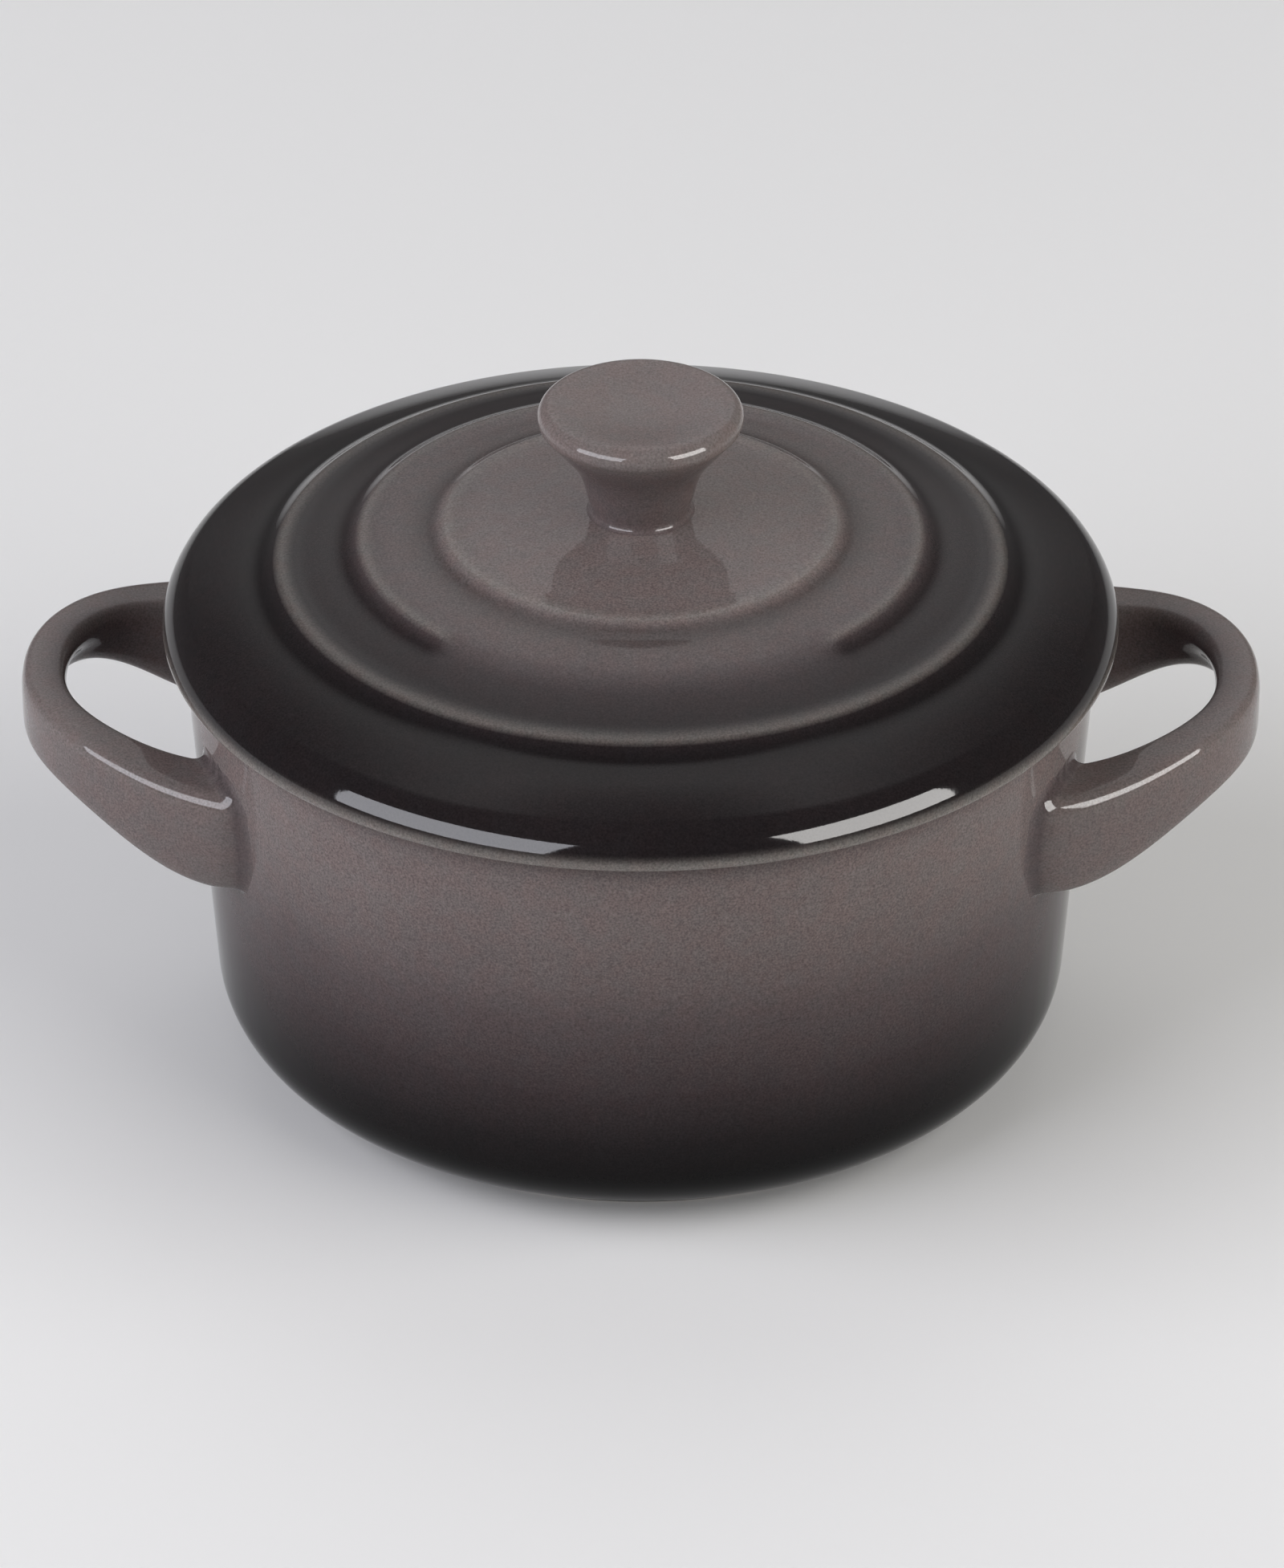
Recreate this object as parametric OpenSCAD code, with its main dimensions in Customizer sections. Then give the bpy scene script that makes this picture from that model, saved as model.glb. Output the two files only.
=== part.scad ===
// Mini cocotte: a small round lidded pot of glazed stoneware with two loop handles.
// The origin is on the table under the middle of the pot, +Z is up and the handles lie along X.

/* [Pot] */
// Outside diameter of the pot at its rim
pot_rim_d = 97.6; // [88:0.2:108]
// Height of the pot from the table to its rim
pot_h = 49.2; // [44:0.2:58]
// Thickness of the side wall
pot_wall = 4.4; // [3.6:0.1:5.6]
// Thickness of the floor
pot_floor = 4.6; // [3.6:0.1:7]
// Lean of the wall, in degrees from upright
wall_lean = 4; // [2:0.25:6]
// Radius of the round corner between wall and base
corner_r = 7.6; // [5:0.2:10]
// Radius of the corner inside the pot
inner_corner_r = 9; // [6:0.5:13]
// Height of the foot ring
foot_h = 2; // [1.4:0.1:3]
// Width of the foot ring
foot_w = 4.2; // [3:0.1:6]
// Depth of the recess inside the foot ring
foot_recess = 1.4; // [0.8:0.1:2]
// Bevel on the outer edge of the foot ring
foot_bevel = 0.5; // [0.2:0.1:1]
// Rounding of the two edges of the rim
rim_r = 1; // [0.6:0.1:1.4]

/* [Handles] */
// How far a handle stands out from the wall
handle_reach = 18.4; // [15:0.2:24]
// Width of a handle over its two arms
handle_w = 40.6; // [36:0.2:50]
// Thickness of the ribbon of clay
handle_t = 4.8; // [3.6:0.1:6.5]
// Height of the ribbon at the wall
handle_root_h = 12.6; // [9:0.2:16]
// Height of the ribbon at the tip of the loop
handle_tip_h = 7.2; // [5:0.2:10]
// Depth of the ribbon's middle at the wall, below the rim
handle_drop = 14.3; // [13:0.1:18]
// Rise of the ribbon's middle from the wall to the tip
handle_rise = 5.4; // [2:0.1:7]
// How far inside the wall the loop has its centre
loop_inset = 4.2; // [3:0.1:7]
// Radius of the fillet where an arm runs into the wall
handle_fillet = 2.8; // [0.8:0.1:3.4]

/* [Lid] */
// How far the lid stands out past the pot
lid_overhang = 2.2; // [1:0.1:4]
// Height of the dome above the rim of the pot
dome_h = 13.6; // [11:0.1:17]
// Radius of the lid's round edge
lid_edge_r = 4.8; // [2.8:0.1:5.8]
// Rounding under the lid's edge
lid_underedge = 0.6; // [0.3:0.1:1]
// Thickness of the dome
lid_t = 4.2; // [3.4:0.1:5]
// Depth of the flange in the mouth of the pot
flange_h = 4.5; // [3:0.1:7]
// Thickness of the flange
flange_t = 3.2; // [2.4:0.1:4]
// Play all round between the flange and the mouth
lid_play = 0.9; // [0.6:0.1:1.5]

/* [Rings on the lid] */
// Diameter of the inner ring
inner_ring_d = 41.4; // [34:0.2:48]
// Diameter of the middle ring
middle_ring_d = 59.2; // [52:0.2:66]
// Diameter of the outer ring
outer_ring_d = 76.6; // [70:0.2:82]
// Radius of the bead that makes a ring
bead_r = 1.3; // [1:0.1:1.6]
// Height of a bead above the dome
bead_rise = 0.6; // [0.4:0.05:0.9]
// Bare stretch of the middle ring at the front, in degrees
ring_gap = 89; // [60:1:130]

/* [Knob] */
// Diameter of the knob over its rim
knob_d = 21.7; // [18:0.1:26]
// Height of the knob above the dome
knob_h = 12.7; // [10:0.1:16]
// Diameter of the neck
knob_neck_d = 10.9; // [9:0.1:13]
// Height of the plain neck under the flare
knob_neck_h = 0.4; // [0.2:0.1:1.6]
// Radius of the rim's upper edge
knob_edge_r = 1.4; // [0.8:0.1:2]
// Radius of the fillet at the foot of the neck
knob_fillet = 0.8; // [0.5:0.1:1.1]
// Depth of the dish in the top
knob_dish = 1.2; // [0.3:0.1:1.6]

/* [Hidden] */
$fn = 96;

glaze = [0.40, 0.37, 0.36];
dark_glaze = [0.22, 0.21, 0.21];

// Pot: the wall is a cone, so its radius follows from the height
pot_r = pot_rim_d / 2;
function wall_r(z) = pot_r - (pot_h - z) * tan(wall_lean);
function mouth_r(z) = wall_r(z) - pot_wall / cos(wall_lean);
floor_z = foot_recess + pot_floor;
corner_z = foot_h + corner_r;
corner_x = wall_r(corner_z - corner_r * sin(wall_lean)) - corner_r * cos(wall_lean);
inner_corner_z = floor_z + inner_corner_r;
inner_touch_z = inner_corner_z - inner_corner_r * sin(wall_lean);
inner_corner_x = mouth_r(inner_touch_z) - inner_corner_r * cos(wall_lean);
foot_inner_r = corner_x - foot_w;

// Handle: half a superellipse in plan, with its centre inside the wall and its arms run on into the wall
root_z = pot_h - handle_drop;
loop_x = wall_r(root_z) - loop_inset;
loop_a = loop_inset + handle_reach - handle_t / 2;
loop_b = (handle_w - handle_t) / 2;
arm_in = loop_inset + pot_wall / 2;
plan_power = 2.4;
level_power = 2;
section_power = 3.2;
loop_steps = 26;
arm_steps = 3;
section_steps = 24;

// Lid: part of a sphere that runs into a round edge with no crease
lid_r = pot_r + lid_overhang;
edge_x = lid_r - lid_edge_r;
dome_r = (pow(edge_x, 2) + pow(dome_h, 2) - pow(lid_edge_r, 2)) / (2 * (dome_h - lid_edge_r));
edge_turn = atan2(dome_r - dome_h, edge_x);
dome_foot_r = edge_x + lid_edge_r * cos(edge_turn);
function sphere_z(r, offset = 0) = dome_h - dome_r + sqrt(pow(dome_r - offset, 2) - r * r);
function flange_r(z) = mouth_r(pot_h + z) - lid_play;
flange_inner_r = flange_r(-flange_h) - flange_t;
bead_end_r = 0.97 * bead_r;

// Knob: stands on a flat land in the middle of the dome
neck_r = knob_neck_d / 2;
knob_foot_r = neck_r + knob_fillet;
land_z = sphere_z(knob_foot_r);
flare_z = knob_fillet + knob_neck_h;
rim_z = knob_h - knob_edge_r;
dish_edge_r = knob_d / 2 - knob_edge_r;
dish_r = (pow(dish_edge_r, 2) + pow(knob_dish, 2)) / (2 * knob_dish);
flare_steps = 20;

// Points on an arc round [x, y] from angle a0 to angle a1
function arc(x, y, r, a0, a1, steps = 10) =
    [for (i = [0:steps]) let (a = a0 + (a1 - a0) * i / steps) [x + r * cos(a), y + r * sin(a)]];

// A value between 0 and 1
function share(v) = min(1, max(0, v));

// Power of c that keeps its sign: cosines and sines so raised trace a superellipse
function signed_pow(c, power) = sign(c) * pow(abs(c), power);

// Cast bowl with a leaning wall, a round corner and a foot ring left bare for firing.
module pot() {
    outside = concat(
        [[0, foot_recess], [foot_inner_r - foot_recess, foot_recess], [foot_inner_r, 0]],
        [[corner_x - foot_bevel, 0], [corner_x, foot_bevel]],
        arc(corner_x, corner_z, corner_r, -90, -wall_lean));
    rim_z = pot_h - rim_r;
    rim = concat(
        arc(wall_r(rim_z) - rim_r, rim_z, rim_r, 0, 90, 6),
        arc(mouth_r(rim_z) + rim_r, rim_z, rim_r, 90, 180, 6));
    inside = concat(
        arc(inner_corner_x, inner_corner_z, inner_corner_r, -wall_lean, -90),
        [[0, floor_z]]);
    color(glaze)
        rotate_extrude()
            polygon(concat(outside, rim, inside));
}

// Station w of the loop runs from -1 to 1 round the superellipse, closer together near the wall.
// Beyond that the arms go straight on into the wall.
function loop_angle(w) = 90 * share(abs(w)) * (3 - pow(share(abs(w)), 2)) / 2 * sign(w);
function loop_point(w) =
    let (a = loop_angle(w), q = 2 / plan_power)
    [loop_x + loop_a * signed_pow(cos(a), q) - arm_in * max(0, abs(w) - 1), loop_b * signed_pow(sin(a), q)];
function loop_normal(w) =
    let (a = loop_angle(w), q = 2 - 2 / plan_power)
    let (n = [signed_pow(cos(a), q) / loop_a, signed_pow(sin(a), q) / loop_b])
    n / norm(n);

// 0 at the wall and 1 at the tip, level at both
function level(w) = pow(sin(90 * share((loop_point(w).x - loop_x) / loop_a)), level_power);

// Extra width at distance d from the wall: a round fillet
function fillet(d) = handle_fillet * (1 - sqrt(1 - pow(1 - share(d / handle_fillet), 2)));

// The section at station w: a rounded rectangle, spread by the fillet wherever it comes near the wall
function loop_section(w) =
    let (p = loop_point(w), n = loop_normal(w), z = root_z + handle_rise * level(w))
    let (half_t = handle_t / 2)
    let (half_h = (handle_root_h + (handle_tip_h - handle_root_h) * level(w)) / 2)
    let (q = 2 / section_power)
    [for (j = [0:section_steps - 1])
        let (s = 360 * j / section_steps)
        let (u = half_t * signed_pow(cos(s), q), v = half_h * signed_pow(sin(s), q))
        let (f = fillet(norm(p + n * u) - wall_r(z + v)))
        [p.x + n.x * (u + f * cos(s)), p.y + n.y * (u + f * cos(s)), z + v + f * sin(s)]];

// Ribbon of clay swept round the loop, its ends scribed to the cone of the wall.
module handle() {
    stations = concat(
        [for (i = [arm_steps:-1:1]) -1 - i / arm_steps],
        [for (i = [-loop_steps:loop_steps]) i / loop_steps],
        [for (i = [1:arm_steps]) 1 + i / arm_steps]);
    rings = len(stations);
    n = section_steps;
    points = [for (w = stations) each loop_section(w)];
    sides = [for (i = [0:rings - 2], j = [0:n - 1], k = [0, 1])
        let (a = i * n + j, b = i * n + (j + 1) % n)
        k == 0 ? [a, a + n, b] : [b, a + n, b + n]];
    ends = [[for (j = [0:n - 1]) j], [for (j = [n - 1:-1:0]) (rings - 1) * n + j]];
    difference() {
        polyhedron(points, concat(sides, ends), convexity = 6);
        cylinder(h = pot_h, r1 = wall_r(0), r2 = pot_r);
    }
}

module handle_right() {
    color(glaze)
        handle();
}

module handle_left() {
    color(glaze)
        mirror([1, 0, 0])
            handle();
}

// Centre of the bead of diameter d, in the section of the lid
function bead_centre(d) = [d / 2, sphere_z(d / 2) + bead_rise - bead_r];

// Section of the lid: part of a disc for the dome, with the edge, the seat and the flange.
module lid_section() {
    edge = arc(edge_x, 0, lid_edge_r, asin(lid_underedge / lid_edge_r), edge_turn);
    outline = concat(
        [[0, -flange_h], [flange_r(-flange_h), -flange_h], [flange_r(0), 0], [lid_r - lid_underedge, 0]],
        edge,
        [[dome_foot_r, dome_h], [knob_foot_r, dome_h], [knob_foot_r, land_z], [0, land_z]]);
    difference() {
        intersection() {
            polygon(outline);
            translate([0, dome_h - dome_r])
                circle(dome_r, $fn = 360);
        }
        intersection() {
            translate([0, dome_h - dome_r])
                circle(dome_r - lid_t, $fn = 360);
            translate([0, -2 * flange_h])
                square([flange_inner_r, dome_h + 2 * flange_h]);
        }
    }
}

// Domed lid with a flat seat, a flange that drops into the mouth and three raised rings.
// The middle ring has a bare stretch at the front, and its two ends are round.
module lid() {
    middle = bead_centre(middle_ring_d);
    color(dark_glaze)
        translate([0, 0, pot_h])
            union() {
                rotate_extrude()
                    union() {
                        lid_section();
                        translate(bead_centre(inner_ring_d))
                            circle(bead_r, $fn = 48);
                        translate(bead_centre(outer_ring_d))
                            circle(bead_r, $fn = 48);
                    }
                rotate([0, 0, ring_gap / 2 - 90])
                    rotate_extrude(angle = 360 - ring_gap)
                        translate(middle)
                            circle(bead_r, $fn = 48);
                for (side = [-1, 1])
                    rotate([0, 0, side * ring_gap / 2 - 90])
                        translate([middle.x, 0, middle.y])
                            sphere(bead_end_r, $fn = 48);
            }
}

// Turned knob: a short neck that flares to a rounded rim with a shallow dish on top.
module knob() {
    foot = arc(knob_foot_r, knob_fillet, knob_fillet, -90, -180, 6);
    flare = [for (i = [0:flare_steps - 1])
        let (v = i / flare_steps)
        [neck_r + (knob_d / 2 - neck_r) * (1 - cos(180 * v)) / 2, flare_z + (rim_z - flare_z) * v]];
    rim = arc(dish_edge_r, rim_z, knob_edge_r, 0, 90, 8);
    dish = [for (i = [1:8])
        let (r = dish_edge_r * (1 - i / 8))
        [r, knob_h + dish_r - knob_dish - sqrt(dish_r * dish_r - r * r)]];
    color(glaze)
        translate([0, 0, pot_h + land_z])
            rotate_extrude()
                polygon(concat([[0, 0]], foot, flare, rim, dish));
}

pot();
handle_left();
handle_right();
lid();
knob();
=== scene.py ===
import bpy
import numpy as np
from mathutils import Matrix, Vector


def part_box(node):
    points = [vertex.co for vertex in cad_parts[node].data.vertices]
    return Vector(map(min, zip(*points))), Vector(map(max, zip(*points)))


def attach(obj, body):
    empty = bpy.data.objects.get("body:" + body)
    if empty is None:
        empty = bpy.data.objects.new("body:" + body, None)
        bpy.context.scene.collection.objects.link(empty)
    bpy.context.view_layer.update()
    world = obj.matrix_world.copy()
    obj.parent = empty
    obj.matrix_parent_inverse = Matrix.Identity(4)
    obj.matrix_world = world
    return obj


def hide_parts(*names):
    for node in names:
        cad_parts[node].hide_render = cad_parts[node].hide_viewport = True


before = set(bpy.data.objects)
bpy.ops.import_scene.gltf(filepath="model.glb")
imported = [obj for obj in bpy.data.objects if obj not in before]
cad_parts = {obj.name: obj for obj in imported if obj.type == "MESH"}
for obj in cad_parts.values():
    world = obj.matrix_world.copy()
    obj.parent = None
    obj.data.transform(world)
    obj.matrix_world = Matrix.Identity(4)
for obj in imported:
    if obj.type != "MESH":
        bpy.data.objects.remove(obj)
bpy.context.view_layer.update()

# Pot: a bowl of stoneware, cast in a plaster mould, with a leaning wall and a turned foot ring.
# It is dipped in a grey glaze, sprayed darker towards the base, and lined with a pale glaze. Just under the
# rim a painted shadow stands for the lid's shadow. The foot ring is wiped bare underneath, because the pot
# stands on it in the kiln.
MM = 0.001
pot_high = np.array(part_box("pot")[1])
pot_h = pot_high[2]
rim_round = 1.0 * MM
wall_lean = np.radians(4.0)
pot_wall = 4.4 * MM
floor_h = 6.0 * MM
foot_h = 2.0 * MM
foot_w = 4.2 * MM
foot_recess = 1.4 * MM
foot_round = 0.6 * MM
corner_r = 7.6 * MM
inner_corner_r = 9.0 * MM
axis_gap = 0.5 * MM
rim_r = pot_high[1] + rim_round * np.tan(wall_lean)
mouth_r = rim_r - pot_wall
outline_step = 1.2 * MM
pot_around = 240
# Depth by height: sprayed darker towards the base, plus a painted shadow of the lid's overhang that rises
# from 46.2 mm to 48.2 mm and holds to the rim.
pot_spray_and_shade_z = np.array((7, 12, 19, 26, 33, 40, 46.2, 48.2)) * MM
pot_spray_and_shade_depth = (1.0, 0.79, 0.48, 0.30, 0.13, 0.03, 0.0, 0.14)
rim_thin = 0.3
rim_thin_h = 0.6 * MM
lining_start_r, lining_full_r = mouth_r + 1.4 * MM, mouth_r + 0.4 * MM
wiped_start_z, wiped_full_z = 0.2 * MM, 0.02 * MM
pot_speck = 1.2
pot_ior = 1.2


def wall_r(z):
    """Radius of the outside of the wall at height z: a cone that narrows downwards."""
    return rim_r - (pot_h - z) * np.tan(wall_lean)


def rounded(corners, count=12):
    """Outline through corners (radius, height, rounding), each made an arc that touches both its sides."""
    corners = np.array(corners)
    points = [corners[:1, :2]]
    for before, corner, after in zip(corners, corners[1:], corners[2:]):
        here, rounding = corner[:2], corner[2]
        u = (before[:2] - here) / np.linalg.norm(before[:2] - here)
        v = (after[:2] - here) / np.linalg.norm(after[:2] - here)
        half = np.arccos(np.clip(u @ v, -1, 1)) / 2
        middle = here + (u + v) / np.linalg.norm(u + v) * rounding / np.sin(half)
        start = here + u * rounding / np.tan(half) - middle
        stop = here + v * rounding / np.tan(half) - middle
        first = np.arctan2(start[1], start[0])
        sweep = (np.arctan2(stop[1], stop[0]) - first + np.pi) % (2 * np.pi) - np.pi
        a = first + sweep * np.linspace(0, 1, count)
        points.append(middle + rounding * np.column_stack((np.cos(a), np.sin(a))))
    points.append(corners[-1:, :2])
    return np.vstack(points)


def filled(outline, step):
    """The same outline with extra points, so that none lies more than a step from the next."""
    gaps = np.linalg.norm(np.diff(outline, axis=0), axis=1)
    runs = [
        np.linspace(a, b, max(1, int(np.ceil(gap / step))), endpoint=False)
        for a, b, gap in zip(outline, outline[1:], gaps)]
    return np.vstack(runs + [outline[-1:]])


def turned(outline, around):
    """Carries an outline of (radius, height) round the axis: at angle t it is (r cos t, r sin t, z)."""
    t = np.linspace(0, 2 * np.pi, around, endpoint=False)
    r, z = outline[:, :1], outline[:, 1:]
    return np.stack((r * np.cos(t), r * np.sin(t), z + 0 * t), axis=-1)


def smooth(low, high, x):
    """0 at low and 1 at high, an S-curve with level ends between them, and flat beyond."""
    v = np.clip((x - low) / (high - low), 0, 1)
    return v * v * (3 - 2 * v)


def skin(name, grid, **glaze):
    """Mesh over a grid that closes round its second index, each end drawn in to the middle of its ring.

    The named values say how the glaze lies on each point. Depth is 0 for the light grey and 1 for near
    black, and on some pieces it also carries painted shade; thin is 1 where the glaze runs off an edge and
    -1 where it pools, lining is the pale glaze and bare is naked clay.
    """
    rows, around = grid.shape[:2]
    points = np.vstack((grid.reshape(-1, 3), grid[0].mean(0), grid[-1].mean(0)))
    i, j = np.meshgrid(np.arange(rows - 1), np.arange(around), indexing="ij")
    a, b = i * around + j, i * around + (j + 1) % around
    quads = np.stack((a, b, b + around, a + around), axis=-1).reshape(-1, 4)
    ring = np.arange(around)
    first = np.column_stack(((ring + 1) % around, ring, np.full(around, rows * around)))
    last = np.column_stack((ring, (ring + 1) % around, np.full(around, rows * around + 1)))
    last[:, :2] += (rows - 1) * around
    mesh = bpy.data.meshes.new(name)
    mesh.from_pydata(points.tolist(), [], quads.tolist() + first.tolist() + last.tolist())
    mesh.polygons.foreach_set("use_smooth", np.ones(len(mesh.polygons), dtype=bool))
    for word, value in glaze.items():
        spread = np.broadcast_to(value, (rows, around))
        values = np.r_[spread.ravel(), spread[0].mean(), spread[-1].mean()]
        attribute = mesh.attributes.new(word, "FLOAT", "POINT")
        attribute.data.foreach_set("value", values.astype(np.float32))
    mesh.update()
    piece = bpy.data.objects.new(name, mesh)
    bpy.context.scene.collection.objects.link(piece)
    return piece


foot_r = wall_r(foot_h + corner_r - corner_r * np.sin(wall_lean)) - corner_r * np.cos(wall_lean)
pot_outline = filled(rounded([
    (axis_gap, foot_recess, 0),
    (foot_r - foot_w - foot_recess, foot_recess, foot_round),
    (foot_r - foot_w, 0, foot_round),
    (foot_r, 0, foot_round),
    (foot_r, foot_h, foot_round),
    (wall_r(foot_h), foot_h, corner_r),
    (rim_r, pot_h, rim_round),
    (mouth_r, pot_h, rim_round),
    (wall_r(floor_h) - pot_wall, floor_h, inner_corner_r),
    (axis_gap, floor_h, 0)]), outline_step)
pot_x, pot_z = pot_outline[:, :1], pot_outline[:, 1:]
past_rim = (np.arange(len(pot_outline)) > np.argmax(pot_outline[:, 1]))[:, None]
pot = skin(
    "pot_body", turned(pot_outline, pot_around),
    depth=(1 - past_rim) * np.interp(pot_z, pot_spray_and_shade_z, pot_spray_and_shade_depth),
    thin=rim_thin * smooth(pot_h - rim_thin_h, pot_h, pot_z),
    lining=past_rim * smooth(lining_start_r, lining_full_r, pot_x),
    bare=(1 - past_rim) * smooth(wiped_start_z, wiped_full_z, pot_z))


def tone(red, green, blue):
    """Colour as light, from the 0 to 255 values of a picture: the standard screen curve undone."""
    c = np.array((red, green, blue)) / 255
    return (*np.where(c <= 0.04045, c / 12.92, ((c + 0.055) / 1.055) ** 2.4), 1)


def add_node(tree, kind, **settings):
    """New node with some of its unlinked inputs set by name, or else its own settings."""
    node = tree.nodes.new(kind)
    for word, value in settings.items():
        if word in node.inputs:
            node.inputs[word].default_value = value
        else:
            setattr(node, word, value)
    return node


def wire(tree, start, stop):
    """Joins an output to an input, or sets the input if start is a plain value."""
    if isinstance(start, bpy.types.NodeSocket):
        tree.links.new(start, stop)
    else:
        stop.default_value = start


def reckon(tree, operation, *values):
    """Output of a Math node on sockets or plain numbers."""
    node = add_node(tree, "ShaderNodeMath", operation=operation)
    for socket, value in zip(node.inputs, values):
        wire(tree, value, socket)
    return node.outputs[0]


def stretch(tree, value, low, high, to_low=0.0, to_high=1.0):
    """Output of a Map Range node that takes low to to_low and high to to_high, in an S-curve."""
    node = add_node(tree, "ShaderNodeMapRange", interpolation_type="SMOOTHSTEP")
    for socket, entry in zip(node.inputs, (value, low, high, to_low, to_high)):
        wire(tree, entry, socket)
    return node.outputs[0]


def blend(tree, factor, a, b, how="MIX"):
    """Output of a colour Mix node."""
    node = add_node(tree, "ShaderNodeMix", data_type="RGBA", blend_type=how)
    for socket, value in zip((node.inputs[0], node.inputs[6], node.inputs[7]), (factor, a, b)):
        wire(tree, value, socket)
    return node.outputs[2]


def noise(tree, place, scale, detail):
    """Noise between 0 and 1 on the piece's own coordinates, scale being lumps per metre."""
    node = add_node(tree, "ShaderNodeTexNoise", Scale=scale, Detail=detail)
    wire(tree, place, node.inputs["Vector"])
    return node.outputs["Fac"]


def swayed(tree, value, by, amount):
    """Value plus a noise times the amount, less half the amount, so that it sways both ways."""
    return reckon(tree, "MULTIPLY_ADD", by, amount, reckon(tree, "SUBTRACT", value, amount / 2))


def value_of(tree, word):
    """One of the values that the mesh carries."""
    return add_node(tree, "ShaderNodeAttribute", attribute_name=word).outputs["Fac"]


def grey_glaze_group():
    """Grey stoneware glaze: a run of greys by depth, lighter where thin and darker where it pools.

    The dark coat is sprayed, so soft clouds and a fine grain shift its depth, and its hue drifts a little
    between warm and cool. Fine specks, as strong as the input says, lie over the whole.
    """
    greys = (
        (0.0, tone(116, 106, 104)), (0.25, tone(86, 77, 77)), (0.5, tone(57, 49, 50)),
        (0.78, tone(31, 27, 28)), (1.0, tone(13, 12, 12)))
    thin_grey, pool_black, pool_strength = tone(132, 126, 121), tone(14, 13, 14), 0.7
    warm, cool = (1.025, 0.985, 0.985, 1), (0.98, 1.005, 1.015, 1)
    least_rough, grain_rough, speck_height = 0.03, 0.05, 0.3
    group = bpy.data.node_groups.new("grey_glaze", "ShaderNodeTree")
    group.interface.new_socket("Speck", in_out="INPUT", socket_type="NodeSocketFloat")
    group.interface.new_socket("Color", in_out="OUTPUT", socket_type="NodeSocketColor")
    group.interface.new_socket("Roughness", in_out="OUTPUT", socket_type="NodeSocketFloat")
    group.interface.new_socket("Height", in_out="OUTPUT", socket_type="NodeSocketFloat")
    taken = add_node(group, "NodeGroupInput")
    given = add_node(group, "NodeGroupOutput")
    place = add_node(group, "ShaderNodeTexCoord").outputs["Object"]
    specks = noise(group, place, scale=4400, detail=1)
    grain = noise(group, place, scale=1300, detail=2)
    clouds = noise(group, place, scale=60, detail=3)
    thin = value_of(group, "thin")
    level = swayed(group, value_of(group, "depth"), by=clouds, amount=0.10)
    level = swayed(group, level, by=grain, amount=0.06)
    ramp = add_node(group, "ShaderNodeValToRGB")
    while len(ramp.color_ramp.elements) < len(greys):
        ramp.color_ramp.elements.new(0.5)
    for stop, (at, colour) in zip(ramp.color_ramp.elements, greys):
        stop.position = at
        stop.color = colour
    wire(group, level, ramp.inputs[0])
    runs_off = reckon(group, "MINIMUM", reckon(group, "MAXIMUM", thin, 0.0), 1.0)
    pools = reckon(group, "MULTIPLY", reckon(group, "MINIMUM", thin, 0.0), -pool_strength)
    colour = blend(group, runs_off, ramp.outputs[0], thin_grey)
    colour = blend(group, pools, colour, pool_black)
    hue = stretch(group, noise(group, place, scale=420, detail=2), low=0.35, high=0.65)
    colour = blend(group, 1.0, colour, blend(group, hue, warm, cool), "MULTIPLY")
    speck = reckon(group, "MULTIPLY", reckon(group, "SUBTRACT", specks, 0.5), taken.outputs["Speck"])
    light = reckon(group, "ADD", speck, 1.0)
    tint = add_node(group, "ShaderNodeCombineColor")
    for socket in tint.inputs:
        wire(group, light, socket)
    wire(group, blend(group, 1.0, colour, tint.outputs[0], "MULTIPLY"), given.inputs["Color"])
    wire(group, reckon(group, "MULTIPLY_ADD", grain, grain_rough, least_rough), given.inputs["Roughness"])
    wire(group, reckon(group, "MULTIPLY_ADD", specks, speck_height, grain), given.inputs["Height"])
    return group


grey_glaze = grey_glaze_group()


def glazed(name, speck, ior):
    """Material of a dipped piece: grey glaze, pale lining glaze and bare clay, where its points say so."""
    pale_cream, light_cream, cream_freckle = tone(208, 199, 182), tone(224, 217, 204), tone(176, 160, 136)
    dark_clay, light_clay, clay_rough = tone(186, 170, 148), tone(216, 204, 184), 0.75
    material = bpy.data.materials.new(name)
    material.use_nodes = True
    tree = material.node_tree
    shader = tree.nodes["Principled BSDF"]
    shader.inputs["IOR"].default_value = ior
    glaze = add_node(tree, "ShaderNodeGroup", node_tree=grey_glaze, Speck=speck)
    place = add_node(tree, "ShaderNodeTexCoord").outputs["Object"]
    wander = noise(tree, place, scale=400, detail=3)
    lining = stretch(tree, swayed(tree, value_of(tree, "lining"), by=wander, amount=0.5), low=0.4, high=0.6)
    bare = stretch(tree, swayed(tree, value_of(tree, "bare"), by=wander, amount=0.5), low=0.42, high=0.58)
    pale = blend(tree, noise(tree, place, scale=250, detail=3), pale_cream, light_cream)
    freckle = stretch(tree, noise(tree, place, scale=900, detail=2), low=0.68, high=0.76, to_high=0.5)
    pale = blend(tree, freckle, pale, cream_freckle)
    clay = blend(tree, noise(tree, place, scale=1400, detail=4), dark_clay, light_clay)
    colour = blend(tree, bare, blend(tree, lining, glaze.outputs["Color"], pale), clay)
    wire(tree, colour, shader.inputs["Base Color"])
    matt = reckon(tree, "MULTIPLY", bare, clay_rough)
    wire(tree, reckon(tree, "ADD", glaze.outputs["Roughness"], matt), shader.inputs["Roughness"])
    bump = add_node(tree, "ShaderNodeBump", Strength=0.012, Distance=0.2 * MM)
    wire(tree, glaze.outputs["Height"], bump.inputs["Height"])
    wire(tree, bump.outputs[0], shader.inputs["Normal"])
    return material


pot.data.materials.append(glazed("pot_glaze", pot_speck, pot_ior))
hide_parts("pot")
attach(pot, "pot")
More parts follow.
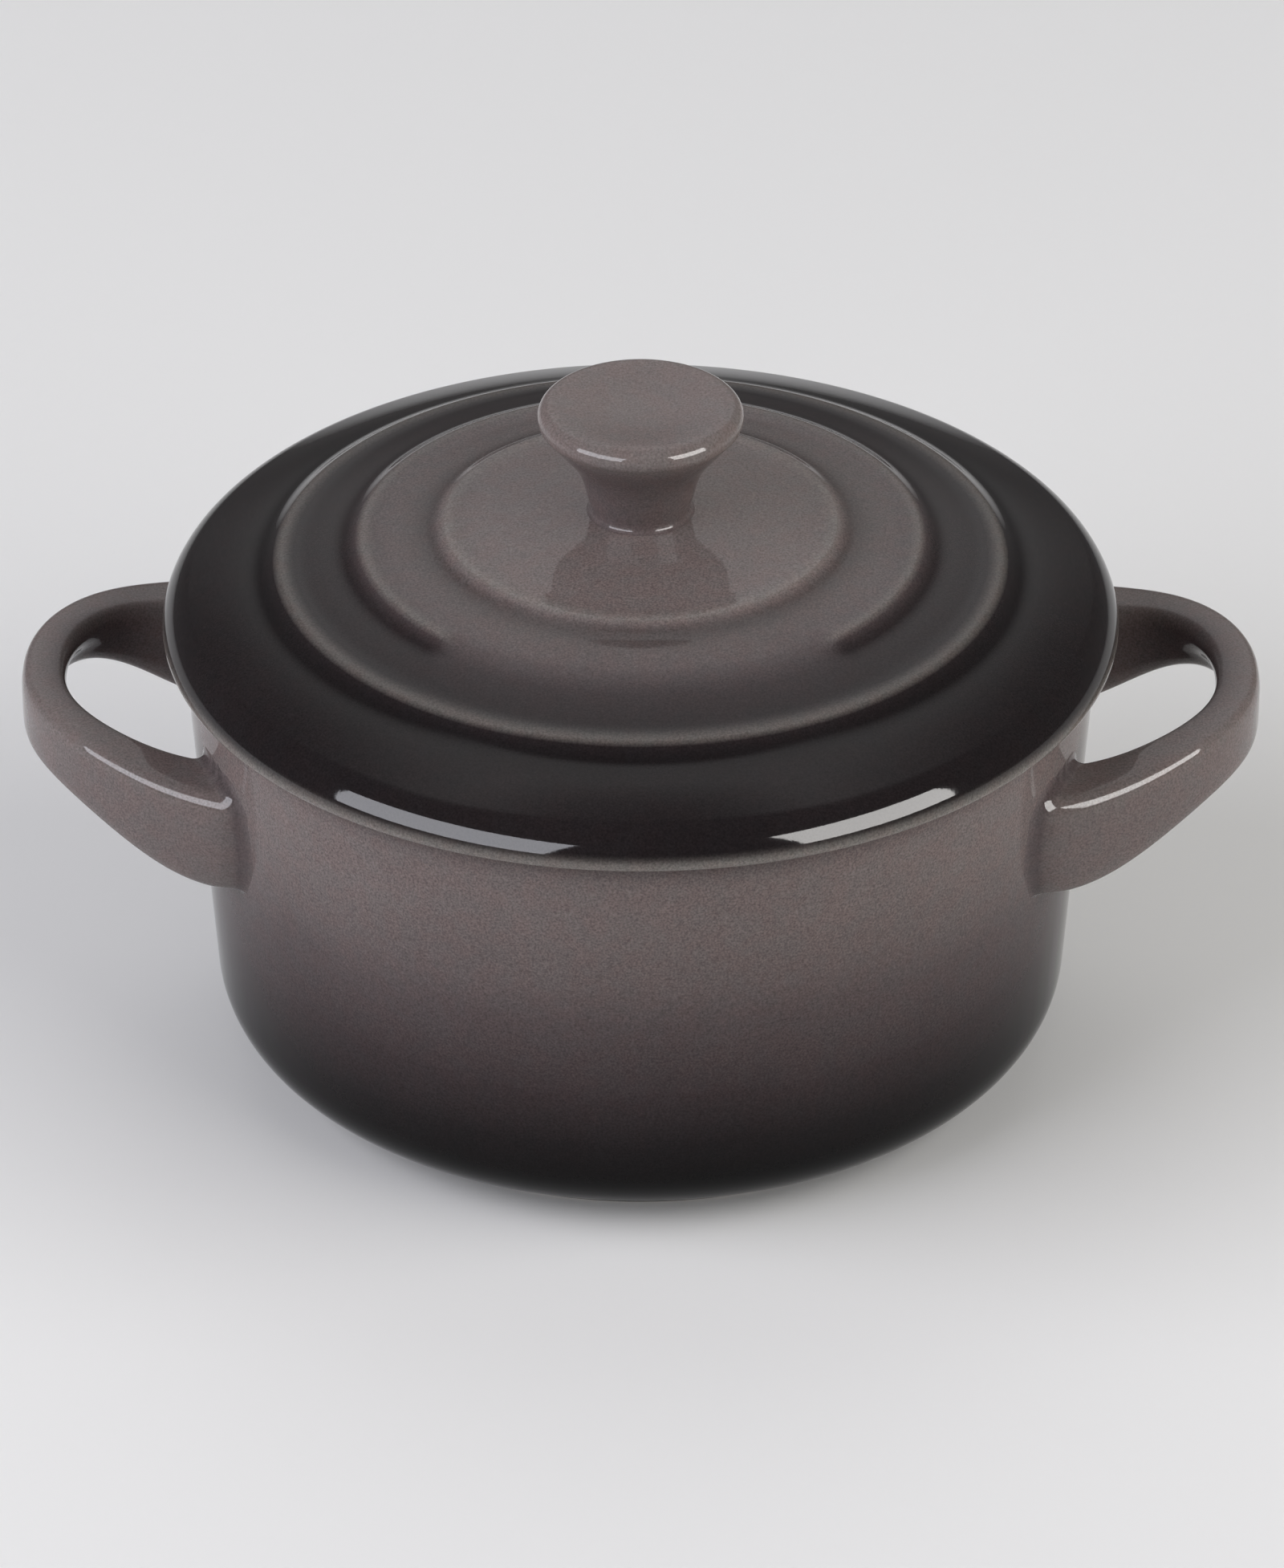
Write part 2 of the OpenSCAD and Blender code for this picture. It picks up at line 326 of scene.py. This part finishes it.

# Handles: ribbons of clay bent to a loop and stuck to the wall with slip while both are leather-hard.
# Each is tall at the wall and lower at the tip, which stands a little higher, and the joint is smoothed
# to a fillet with a wet sponge before the whole pot is dipped. Painted shade darkens that fillet and the
# loop's inner face towards the tip.
handle_high = np.array(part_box("handle_right")[1])
handle_w = 40.6 * MM
handle_t = 4.8 * MM
root_h = 12.6 * MM
tip_h = 7.2 * MM
root_z = pot_h - 14.3 * MM
root_in_wall = 4.2 * MM
handle_rise = 5.4 * MM
handle_fillet = 1.6 * MM
lower_fillet_loss = 0.6
inner_swell = 0.7 * MM
outer_flare = 4.05 * MM
flare_power = 1.9
lower_flare_loss = 0.24
shoulder = 0.035
tip_lift = 2.0 * MM
tip_undercut = 1.6 * MM
tip_power = 3
plan_power = 2.2
level_power = 2.0
section_power = 4.7
under_wall = 0.25 * MM
loop_x = wall_r(root_z) - root_in_wall
loop_a = handle_high[0] - handle_t / 2 - loop_x
loop_b = (handle_w - handle_t) / 2
# The joint, fillet and inner-face depths are painted shade: in the fillet at the wall and on the loop's
# inner face.
handle_depth, joint_shade_depth, fillet_shade_depth, inner_face_shade_depth = 0.03, 0.1, 1.5, 0.34
handle_thin = 0.15
handle_speck = 1.0
handle_ior = 1.3


def raised(c, power):
    """Power of c that keeps its sign: cosines and sines so raised trace a superellipse."""
    return np.sign(c) * np.abs(c) ** power


def loop(side, points=96):
    """Ribbon carried round half a superellipse in plan, with its edge, joint and inner face as weights.

    The section is a superellipse too. Its height shrinks and its middle rises by a power of sin(90 v),
    where v runs from 0 at the root to 1 at the tip. Its outer side flares towards the wall by a power of
    1 - v, a little less at the bottom, and ends in a round shoulder. Its inner side swells there a little,
    and at the tip its underside rises inwards and is cut back. A point nearer to the wall than the
    fillet's radius slides along the wall by a quarter circle, by less at the bottom, and what would lie
    inside the wall stops just under its surface.
    """
    # Stations, first in the wall and then out of it, close together where the fillet is.
    before = np.concatenate((np.linspace(-3.0, -1.6, 4), np.linspace(-1.5, -0.04, 38))) * MM
    after = np.linspace(0.0, 7.0, 180) * MM
    c = np.arccos((after / loop_a) ** (plan_power / 2))
    c = np.concatenate((c[:-1], c[-1] * np.linspace(1, 0, 80)))
    a = np.concatenate((0 * before - np.pi / 2, -c, c[-2::-1], 0 * before + np.pi / 2))[:, None]
    past = np.concatenate((before, 0 * c, 0 * c[1:], before[::-1]))[:, None]
    cos_a, sin_a = np.maximum(np.cos(a), 0), np.sin(a)
    x = loop_x + loop_a * raised(cos_a, 2 / plan_power) + past
    y = loop_b * raised(sin_a, 2 / plan_power)
    normal = np.stack((
        raised(cos_a, 2 - 2 / plan_power) / loop_a,
        raised(sin_a, 2 - 2 / plan_power) / loop_b))
    normal /= np.linalg.norm(normal, axis=0)
    v = (x - loop_x) / loop_a
    level = np.sin(np.pi / 2 * np.clip(v, 0, 1)) ** level_power
    s = np.linspace(0, 2 * np.pi, points, endpoint=False)
    across, upward = raised(np.cos(s), 2 / section_power), raised(np.sin(s), 2 / section_power)
    inside, outside = (1 - across) / 2, (1 + across) / 2
    flare = outer_flare * np.maximum(0, 1 - (v + np.sqrt(v * v + shoulder ** 2)) / 2) ** flare_power
    flare = flare * (1 - lower_flare_loss * smooth(0.2, -1.0, upward))
    tip = inside * level ** tip_power * smooth(0.6, -1.0, upward)
    u = handle_t / 2 * across - inner_swell * inside * (1 - level) + flare * outside + tip_undercut * tip
    z = root_z + handle_rise * level + (root_h + (tip_h - root_h) * level) / 2 * upward + tip_lift * tip
    place = np.stack((x + normal[0] * u, y + normal[1] * u, z), axis=-1)
    out = np.hypot(place[..., 0], place[..., 1])
    off_wall = (out - wall_r(z)) * np.cos(wall_lean)
    near = 1 - np.clip(off_wall / handle_fillet, 0, 1)
    spread = handle_fillet * (1 - np.sqrt(1 - near ** 2))
    spread = spread * (1 - lower_fillet_loss * smooth(-0.2, -1.0, upward))
    sideways = np.stack((normal[0] * np.cos(s), normal[1] * np.cos(s), np.sin(s) + 0 * x), axis=-1)
    off = np.stack((
        np.cos(wall_lean) * place[..., 0] / out, np.cos(wall_lean) * place[..., 1] / out,
        -np.sin(wall_lean) + 0 * out), axis=-1)
    slide = sideways - (sideways * off).sum(-1, keepdims=True) * off
    place = place + spread[..., None] * slide / np.linalg.norm(slide, axis=-1, keepdims=True)
    out = np.hypot(place[..., 0], place[..., 1])
    place[..., :2] *= (np.maximum(out, wall_r(place[..., 2]) - under_wall) / out)[..., None]
    edge = smooth(0.5, 0.74, np.abs(across * upward)) * (1 - near)
    # The joint weight places the painted shade of the fillet, and the last weight the painted shade on the
    # inner face.
    return place * (side, side, 1), edge, near, inside * level


handle_glaze = glazed("handle_glaze", handle_speck, handle_ior)
for side, name in ((-1, "handle_left"), (1, "handle_right")):
    grid, edge, near, inner_shade_weight = loop(side)
    # Painted shade in the fillet where the handle meets the wall.
    painted_joint_shade = joint_shade_depth * near ** 2 + fillet_shade_depth * near ** 2 * (1 - near)
    handle = skin(
        name + "_loop", grid,
        # Plus painted shade on the loop's inner face towards the tip.
        depth=handle_depth + painted_joint_shade + inner_face_shade_depth * inner_shade_weight ** 2,
        thin=handle_thin * edge, lining=0 * near, bare=0 * near)
    handle.data.materials.append(handle_glaze)
    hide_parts(name)
    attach(handle, "pot")

# Lid: pressed in a mould, with a flat seat, a flange that keeps it in the mouth and three raised rings.
# The glaze is thin and light on the rings' soft lips and on the lid's lower edge, pools dark at the lips'
# feet, and is sprayed darker outwards. The lid is fired on its flange, which is wiped bare underneath.
lid_low, lid_high = (np.array(corner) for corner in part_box("lid"))
lid_r = lid_high[1]
edge_r = 4.8 * MM
under_edge = 0.7 * MM
lid_t = 4.2 * MM
lid_play = 0.9 * MM
flange_h = pot_h - lid_low[2]
flange_t = 3.2 * MM
seat_round = 0.4 * MM
flange_round = 0.9 * MM
hollow_round = 2.0 * MM
dome_h = 13.6 * MM
edge_x = lid_r - edge_r
dome_r = (edge_x ** 2 + dome_h ** 2 - edge_r ** 2) / (2 * (dome_h - edge_r))
edge_turn = np.arctan2(dome_r - dome_h, edge_x)
dome_foot_r = edge_x + edge_r * np.cos(edge_turn)
middle_ring_r = 29.6 * MM
rings = (
    {"r": 20.7 * MM, "rise": 0.30 * MM, "drop": 0.25 * MM},
    {"r": middle_ring_r, "rise": 0.50 * MM, "drop": 0.16 * MM},
    {"r": 38.4 * MM, "rise": 0.42 * MM, "drop": 0.24 * MM})
ring_gap = np.radians(89)
ring_end = 1.7 * MM
lip_inner_w = 1.6 * MM
lip_outer_w = 1.5 * MM
lip_light_w = 1.1 * MM
lip_thin = 0.42
pool_w = 2.0 * MM
pool_thin = -0.7
lid_around = 320
lid_spray_r = np.array((0, 18, 24, 28, 31, 33, 36, 40, 46, 51)) * MM
lid_spray_depth = (0.0, 0.02, 0.07, 0.20, 0.46, 0.58, 0.70, 0.73, 0.75, 0.78)
lower_edge_thin = 0.9
lid_speck = 1.2
lid_ior = 1.3


def dome_z(r, inset=0.0):
    """Height of the dome above the seat at radius r, or of its inside at that inset: a sphere."""
    return dome_h - dome_r + np.sqrt((dome_r - inset) ** 2 - r * r)


def ring_wave(r, t, ring):
    """Height and thinness of the glaze of one ring at radius r and angle t.

    With u the distance outside the ring, the lip and its light glaze fall off as exp(-(u / width) squared),
    and the pool at its foot goes as (u / w) squared times exp(2 - 2 u / w), which is deepest at u = w. In
    the plain stretch of the middle ring, at the front, all of them fade with the distance from the ring's
    end, so that the end is round.
    """
    u = r - ring["r"]
    past_end = 0.0
    if ring["r"] == middle_ring_r:
        from_front = np.abs((t + np.pi / 2 + np.pi) % (2 * np.pi) - np.pi)
        past_end = middle_ring_r * np.maximum(0, ring_gap / 2 - from_front)
    fade = np.exp(-(past_end / ring_end) ** 2)
    lip = fade * np.exp(-(u / np.where(u < 0, lip_inner_w, lip_outer_w)) ** 2)
    v = np.maximum(u, 0) / pool_w
    pool = fade * v ** 2 * np.exp(2 - 2 * v)
    light = fade * np.exp(-(u / lip_light_w) ** 2)
    return ring["rise"] * lip - ring["drop"] * pool, lip_thin * light + pool_thin * pool


seat_r = mouth_r - lid_play
flange_r = seat_r - flange_h * np.tan(wall_lean)
near_rings = [np.arange(-3.0, 4.4, 0.2) * MM + ring["r"] for ring in rings]
dome_stations = np.unique(np.round(np.concatenate(
    near_rings + [np.arange(1.0, dome_foot_r / MM, 0.9) * MM, [dome_foot_r]]), 6))
dome_line = np.column_stack((dome_stations, dome_z(dome_stations)))
edge_a = np.linspace(edge_turn, np.arcsin(1.4 * under_edge / edge_r), 24)[1:]
edge_line = np.column_stack((edge_x + edge_r * np.cos(edge_a), edge_r * np.sin(edge_a)))
hollow_stations = np.linspace(flange_r - flange_t, axis_gap, 40)
hollow_line = np.column_stack((hollow_stations, dome_z(hollow_stations, lid_t)))
past_round = 4
under_line = filled(rounded([
    (*edge_line[-1], 0),
    (lid_r, 0, under_edge),
    (seat_r, 0, seat_round),
    (flange_r, -flange_h, flange_round),
    (flange_r - flange_t, -flange_h, flange_round),
    (*hollow_line[0], hollow_round),
    (*hollow_line[past_round], 0)]), outline_step)
lid_outline = np.vstack((dome_line, edge_line, under_line[1:-1], hollow_line[past_round:]))[::-1]
lid_x, lid_z = lid_outline[:, :1], lid_outline[:, 1:]
lid_grid = turned(lid_outline, lid_around)
lid_a = np.linspace(0, 2 * np.pi, lid_around, endpoint=False)
place_in_line = np.arange(len(lid_outline))[::-1, None]
on_top = place_in_line < len(dome_line)
below = place_in_line > len(dome_line) + len(edge_line)
waves = [ring_wave(lid_x, lid_a, ring) for ring in rings]
lid_grid[..., 2] += on_top * sum(wave[0] for wave in waves) + pot_h
edge_thin = lower_edge_thin * (1 - on_top) * smooth(2.0 * MM, 0.2 * MM, lid_z)
edge_thin = edge_thin * smooth(lid_r - 1.6 * MM, lid_r - MM, lid_x)
lid = skin(
    "lid_dome", lid_grid,
    depth=np.interp(lid_x, lid_spray_r, lid_spray_depth),
    thin=on_top * sum(wave[1] for wave in waves) + edge_thin,
    lining=below * smooth(lid_r - 1.5 * MM, lid_r - 2.5 * MM, lid_x),
    bare=below * smooth(0.7 * MM, 0.1 * MM, lid_z + flange_h))
lid.data.materials.append(glazed("lid_glaze", lid_speck, lid_ior))
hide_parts("lid")
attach(lid, "lid")

# Knob: turned on its own and stuck to the lid with slip. Its neck widens in a long curve to a cone and a
# round rim, and its top is dished. The neck is darkened by painted shade under the rim, and the glaze runs
# thin over the rim.
knob_low, knob_high = (np.array(corner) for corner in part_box("knob"))
knob_r = knob_high[1]
knob_h = knob_high[2] - knob_low[2]
neck_r = 5.3 * MM
neck_top_r = 6.5 * MM
neck_top = 5.4 * MM
neck_curve_r = 9.0 * MM
rim_low = 10.7 * MM
rim_low_round = 1.2 * MM
knob_fillet = 0.6 * MM
knob_edge_r = 1.4 * MM
dish_h = 0.9 * MM
dish_power = 1.5
knob_step = 0.6 * MM
knob_around = 180
neck_shade_depth = 0.17
knob_thin = 0.2
knob_thin_w = 1.8 * MM
knob_speck = 1.0
knob_ior = 1.3
foot_a = np.radians(np.linspace(-90, -180, 10))
foot_line = np.column_stack((
    neck_r + knob_fillet * (1 + np.cos(foot_a)), knob_fillet * (1 + np.sin(foot_a))))
dish_edge = knob_r - knob_edge_r
dish_x = np.linspace(dish_edge, axis_gap, 36)[1:]
dish_line = np.column_stack((dish_x, knob_h - dish_h * (1 - (dish_x / dish_edge) ** 2) ** dish_power))
knob_line = rounded([
    (*foot_line[-1], 0),
    (neck_top_r, neck_top, neck_curve_r),
    (knob_r, rim_low, rim_low_round),
    (knob_r, knob_h, knob_edge_r),
    (*dish_line[0], 0)])
knob_outline = filled(np.vstack(([(axis_gap, 0)], foot_line, knob_line[1:], dish_line[1:])), knob_step)
knob_outline[:, 1] += knob_low[2]
knob_x, knob_z = knob_outline[:, :1], knob_outline[:, 1:]
knob = skin(
    "knob_turned", turned(knob_outline, knob_around),
    # Depth here is painted shade on the neck under the rim.
    depth=neck_shade_depth * smooth(knob_high[2] - MM, knob_high[2] - 5 * MM, knob_z),
    thin=knob_thin * smooth(knob_r - knob_thin_w, knob_r, knob_x),
    lining=0 * knob_x, bare=0 * knob_x)
knob.data.materials.append(glazed("knob_glaze", knob_speck, knob_ior))
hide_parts("knob")
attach(knob, "lid")

# Studio: a plain pale floor, a soft box at each side for the plain light, and a pale panel high behind the
# pot. Two bright cards stand nearer and more to the front. They show only in the gloss, where the boxes
# don't, and give the streaks on the edges. The floor throws back less light than its pale colour would.
floor_half = 6.0
floor_bounce, floor_seen = (0.62, 0.62, 0.62, 1), (0.92, 0.92, 0.92, 1)
floor_mesh = bpy.data.meshes.new("floor")
floor_mesh.from_pydata([
    (-floor_half, -floor_half, 0), (floor_half, -floor_half, 0),
    (floor_half, floor_half, 0), (-floor_half, floor_half, 0)], [], [(0, 1, 2, 3)])
floor = bpy.data.objects.new("floor", floor_mesh)
bpy.context.scene.collection.objects.link(floor)
floor_material = bpy.data.materials.new("floor_card")
floor_material.use_nodes = True
floor_tree = floor_material.node_tree
floor_shader = floor_tree.nodes["Principled BSDF"]
path = add_node(floor_tree, "ShaderNodeLightPath").outputs
seen = reckon(floor_tree, "ADD", path["Is Camera Ray"], path["Is Glossy Ray"])
seen = reckon(floor_tree, "MINIMUM", reckon(floor_tree, "ADD", seen, path["Is Transmission Ray"]), 1.0)
wire(floor_tree, blend(floor_tree, seen, floor_bounce, floor_seen), floor_shader.inputs["Base Color"])
floor_shader.inputs["Roughness"].default_value = 0.9
floor_shader.inputs["Specular IOR Level"].default_value = 0.0
floor_mesh.materials.append(floor_material)


def soft_box(name, azimuth, elevation, distance, width, height, radiance, colour):
    """Area lamp on a sphere round the pot, facing it: azimuth 0 is in front of it, and 90 at its right.

    Width and height are shares of the distance, and the power is pi times the radiance times the area.
    """
    lamp = bpy.data.lights.new(name, "AREA")
    lamp.shape = "RECTANGLE"
    lamp.size, lamp.size_y = width * distance, height * distance
    lamp.energy = radiance * np.pi * lamp.size * lamp.size_y
    lamp.color = colour
    box = bpy.data.objects.new(name, lamp)
    bpy.context.scene.collection.objects.link(box)
    a, e = np.radians((azimuth, elevation))
    away = Vector((np.sin(a) * np.cos(e), -np.cos(a) * np.cos(e), np.sin(e)))
    box.location = away * distance + Vector((0, 0, pot_h))
    box.rotation_euler = away.to_track_quat("Z", "Y").to_euler()
    return box


for name, azimuth, radiance, colour in (
        ("left_box", -68, 2.9, (0.98, 0.98, 1.04)),
        ("right_box", 68, 2.3, (1.02, 1.0, 0.97))):
    box = soft_box(
        name, azimuth, elevation=25, distance=1.3, width=1.1, height=1.0,
        radiance=radiance, colour=colour)
    box.visible_glossy = False
for name, azimuth, width, radiance, colour in (
        ("left_card", -45, 0.95, 13.0, (0.96, 0.97, 1.04)),
        ("right_card", 55, 0.69, 22.0, (1.02, 1.0, 0.98))):
    card = soft_box(
        name, azimuth, elevation=23, distance=1.0, width=width, height=0.54,
        radiance=radiance, colour=colour)
    card.visible_diffuse = False
world_strength, panel_strength = 0.15, 0.85
world = bpy.data.worlds.new("studio")
world.use_nodes = True
sky = world.node_tree
looking = add_node(sky, "ShaderNodeSeparateXYZ")
wire(sky, add_node(sky, "ShaderNodeTexCoord").outputs["Generated"], looking.inputs[0])
beside = stretch(sky, reckon(sky, "ABSOLUTE", looking.outputs["X"]), low=0.46, high=0.18)
behind = stretch(sky, looking.outputs["Y"], low=0.0, high=0.3)
above = stretch(sky, looking.outputs["Z"], low=0.08, high=0.64)
below_top = stretch(sky, looking.outputs["Z"], low=0.98, high=0.90)
panel = reckon(sky, "MULTIPLY", beside, behind)
panel = reckon(sky, "MULTIPLY", panel, reckon(sky, "MULTIPLY", above, below_top))
strength = reckon(sky, "MULTIPLY_ADD", panel, panel_strength, world_strength)
wire(sky, strength, sky.nodes["Background"].inputs["Strength"])
sky.nodes["Background"].inputs["Color"].default_value = (1, 1, 1, 1)
bpy.context.scene.world = world

# Camera: 0.9 m away and 31 degrees above the table, where the photograph was taken from.
# Its place, aim and lens were fitted to the outlines of the lid, the pot and the foot.
camera_data = bpy.data.cameras.new("camera")
camera_data.sensor_fit = "HORIZONTAL"
camera_data.sensor_width = 36
camera_data.lens = 235.5
camera = bpy.data.objects.new("camera", camera_data)
bpy.context.scene.collection.objects.link(camera)
camera.location = (8.1 * MM, -770.3 * MM, 505.4 * MM)
aim = Vector((0.2 * MM, -5.07 * MM, 31.6 * MM))
camera.rotation_euler = (aim - camera.location).to_track_quat("-Z", "Y").to_euler()
bpy.context.scene.camera = camera
bpy.context.scene.view_settings.view_transform = "Standard"
